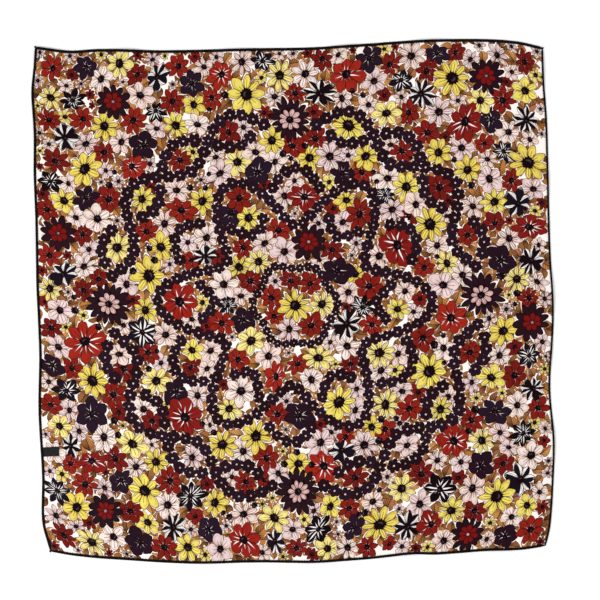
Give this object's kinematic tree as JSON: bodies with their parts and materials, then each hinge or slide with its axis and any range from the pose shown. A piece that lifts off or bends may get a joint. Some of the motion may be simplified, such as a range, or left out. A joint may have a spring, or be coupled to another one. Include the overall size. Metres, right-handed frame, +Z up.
{
  "type": "silk square scarf",
  "caption": "Large square silk scarf with an all-over flower print and dark rolled hems, laid flat and face up.",
  "frame": {"origin": "on the table, under the middle of the box round the laid-out cloth", "axes": "+Z up, away from the table; +X towards the side opposite the care label; +Y towards the top side"},
  "size_m": [0.9234, 0.926, 0.0066],
  "materials": {
    "printed_silk": "fine silk twill with a soft sheen, printed all over with small and large flowers in red, yellow, pale pink, tan and dark plum on off-white",
    "dark_silk": "near-black plum silk, hand rolled and slip stitched, softly shining",
    "black_tape": "black woven tape, matt, bare"
  },
  "bodies": {
    "root": {"silk_cloth": "printed_silk", "hem_top": "dark_silk", "hem_right": "dark_silk", "hem_bottom": "dark_silk", "hem_left": "dark_silk", "care_label": "black_tape"}
  },
  "joints": []
}
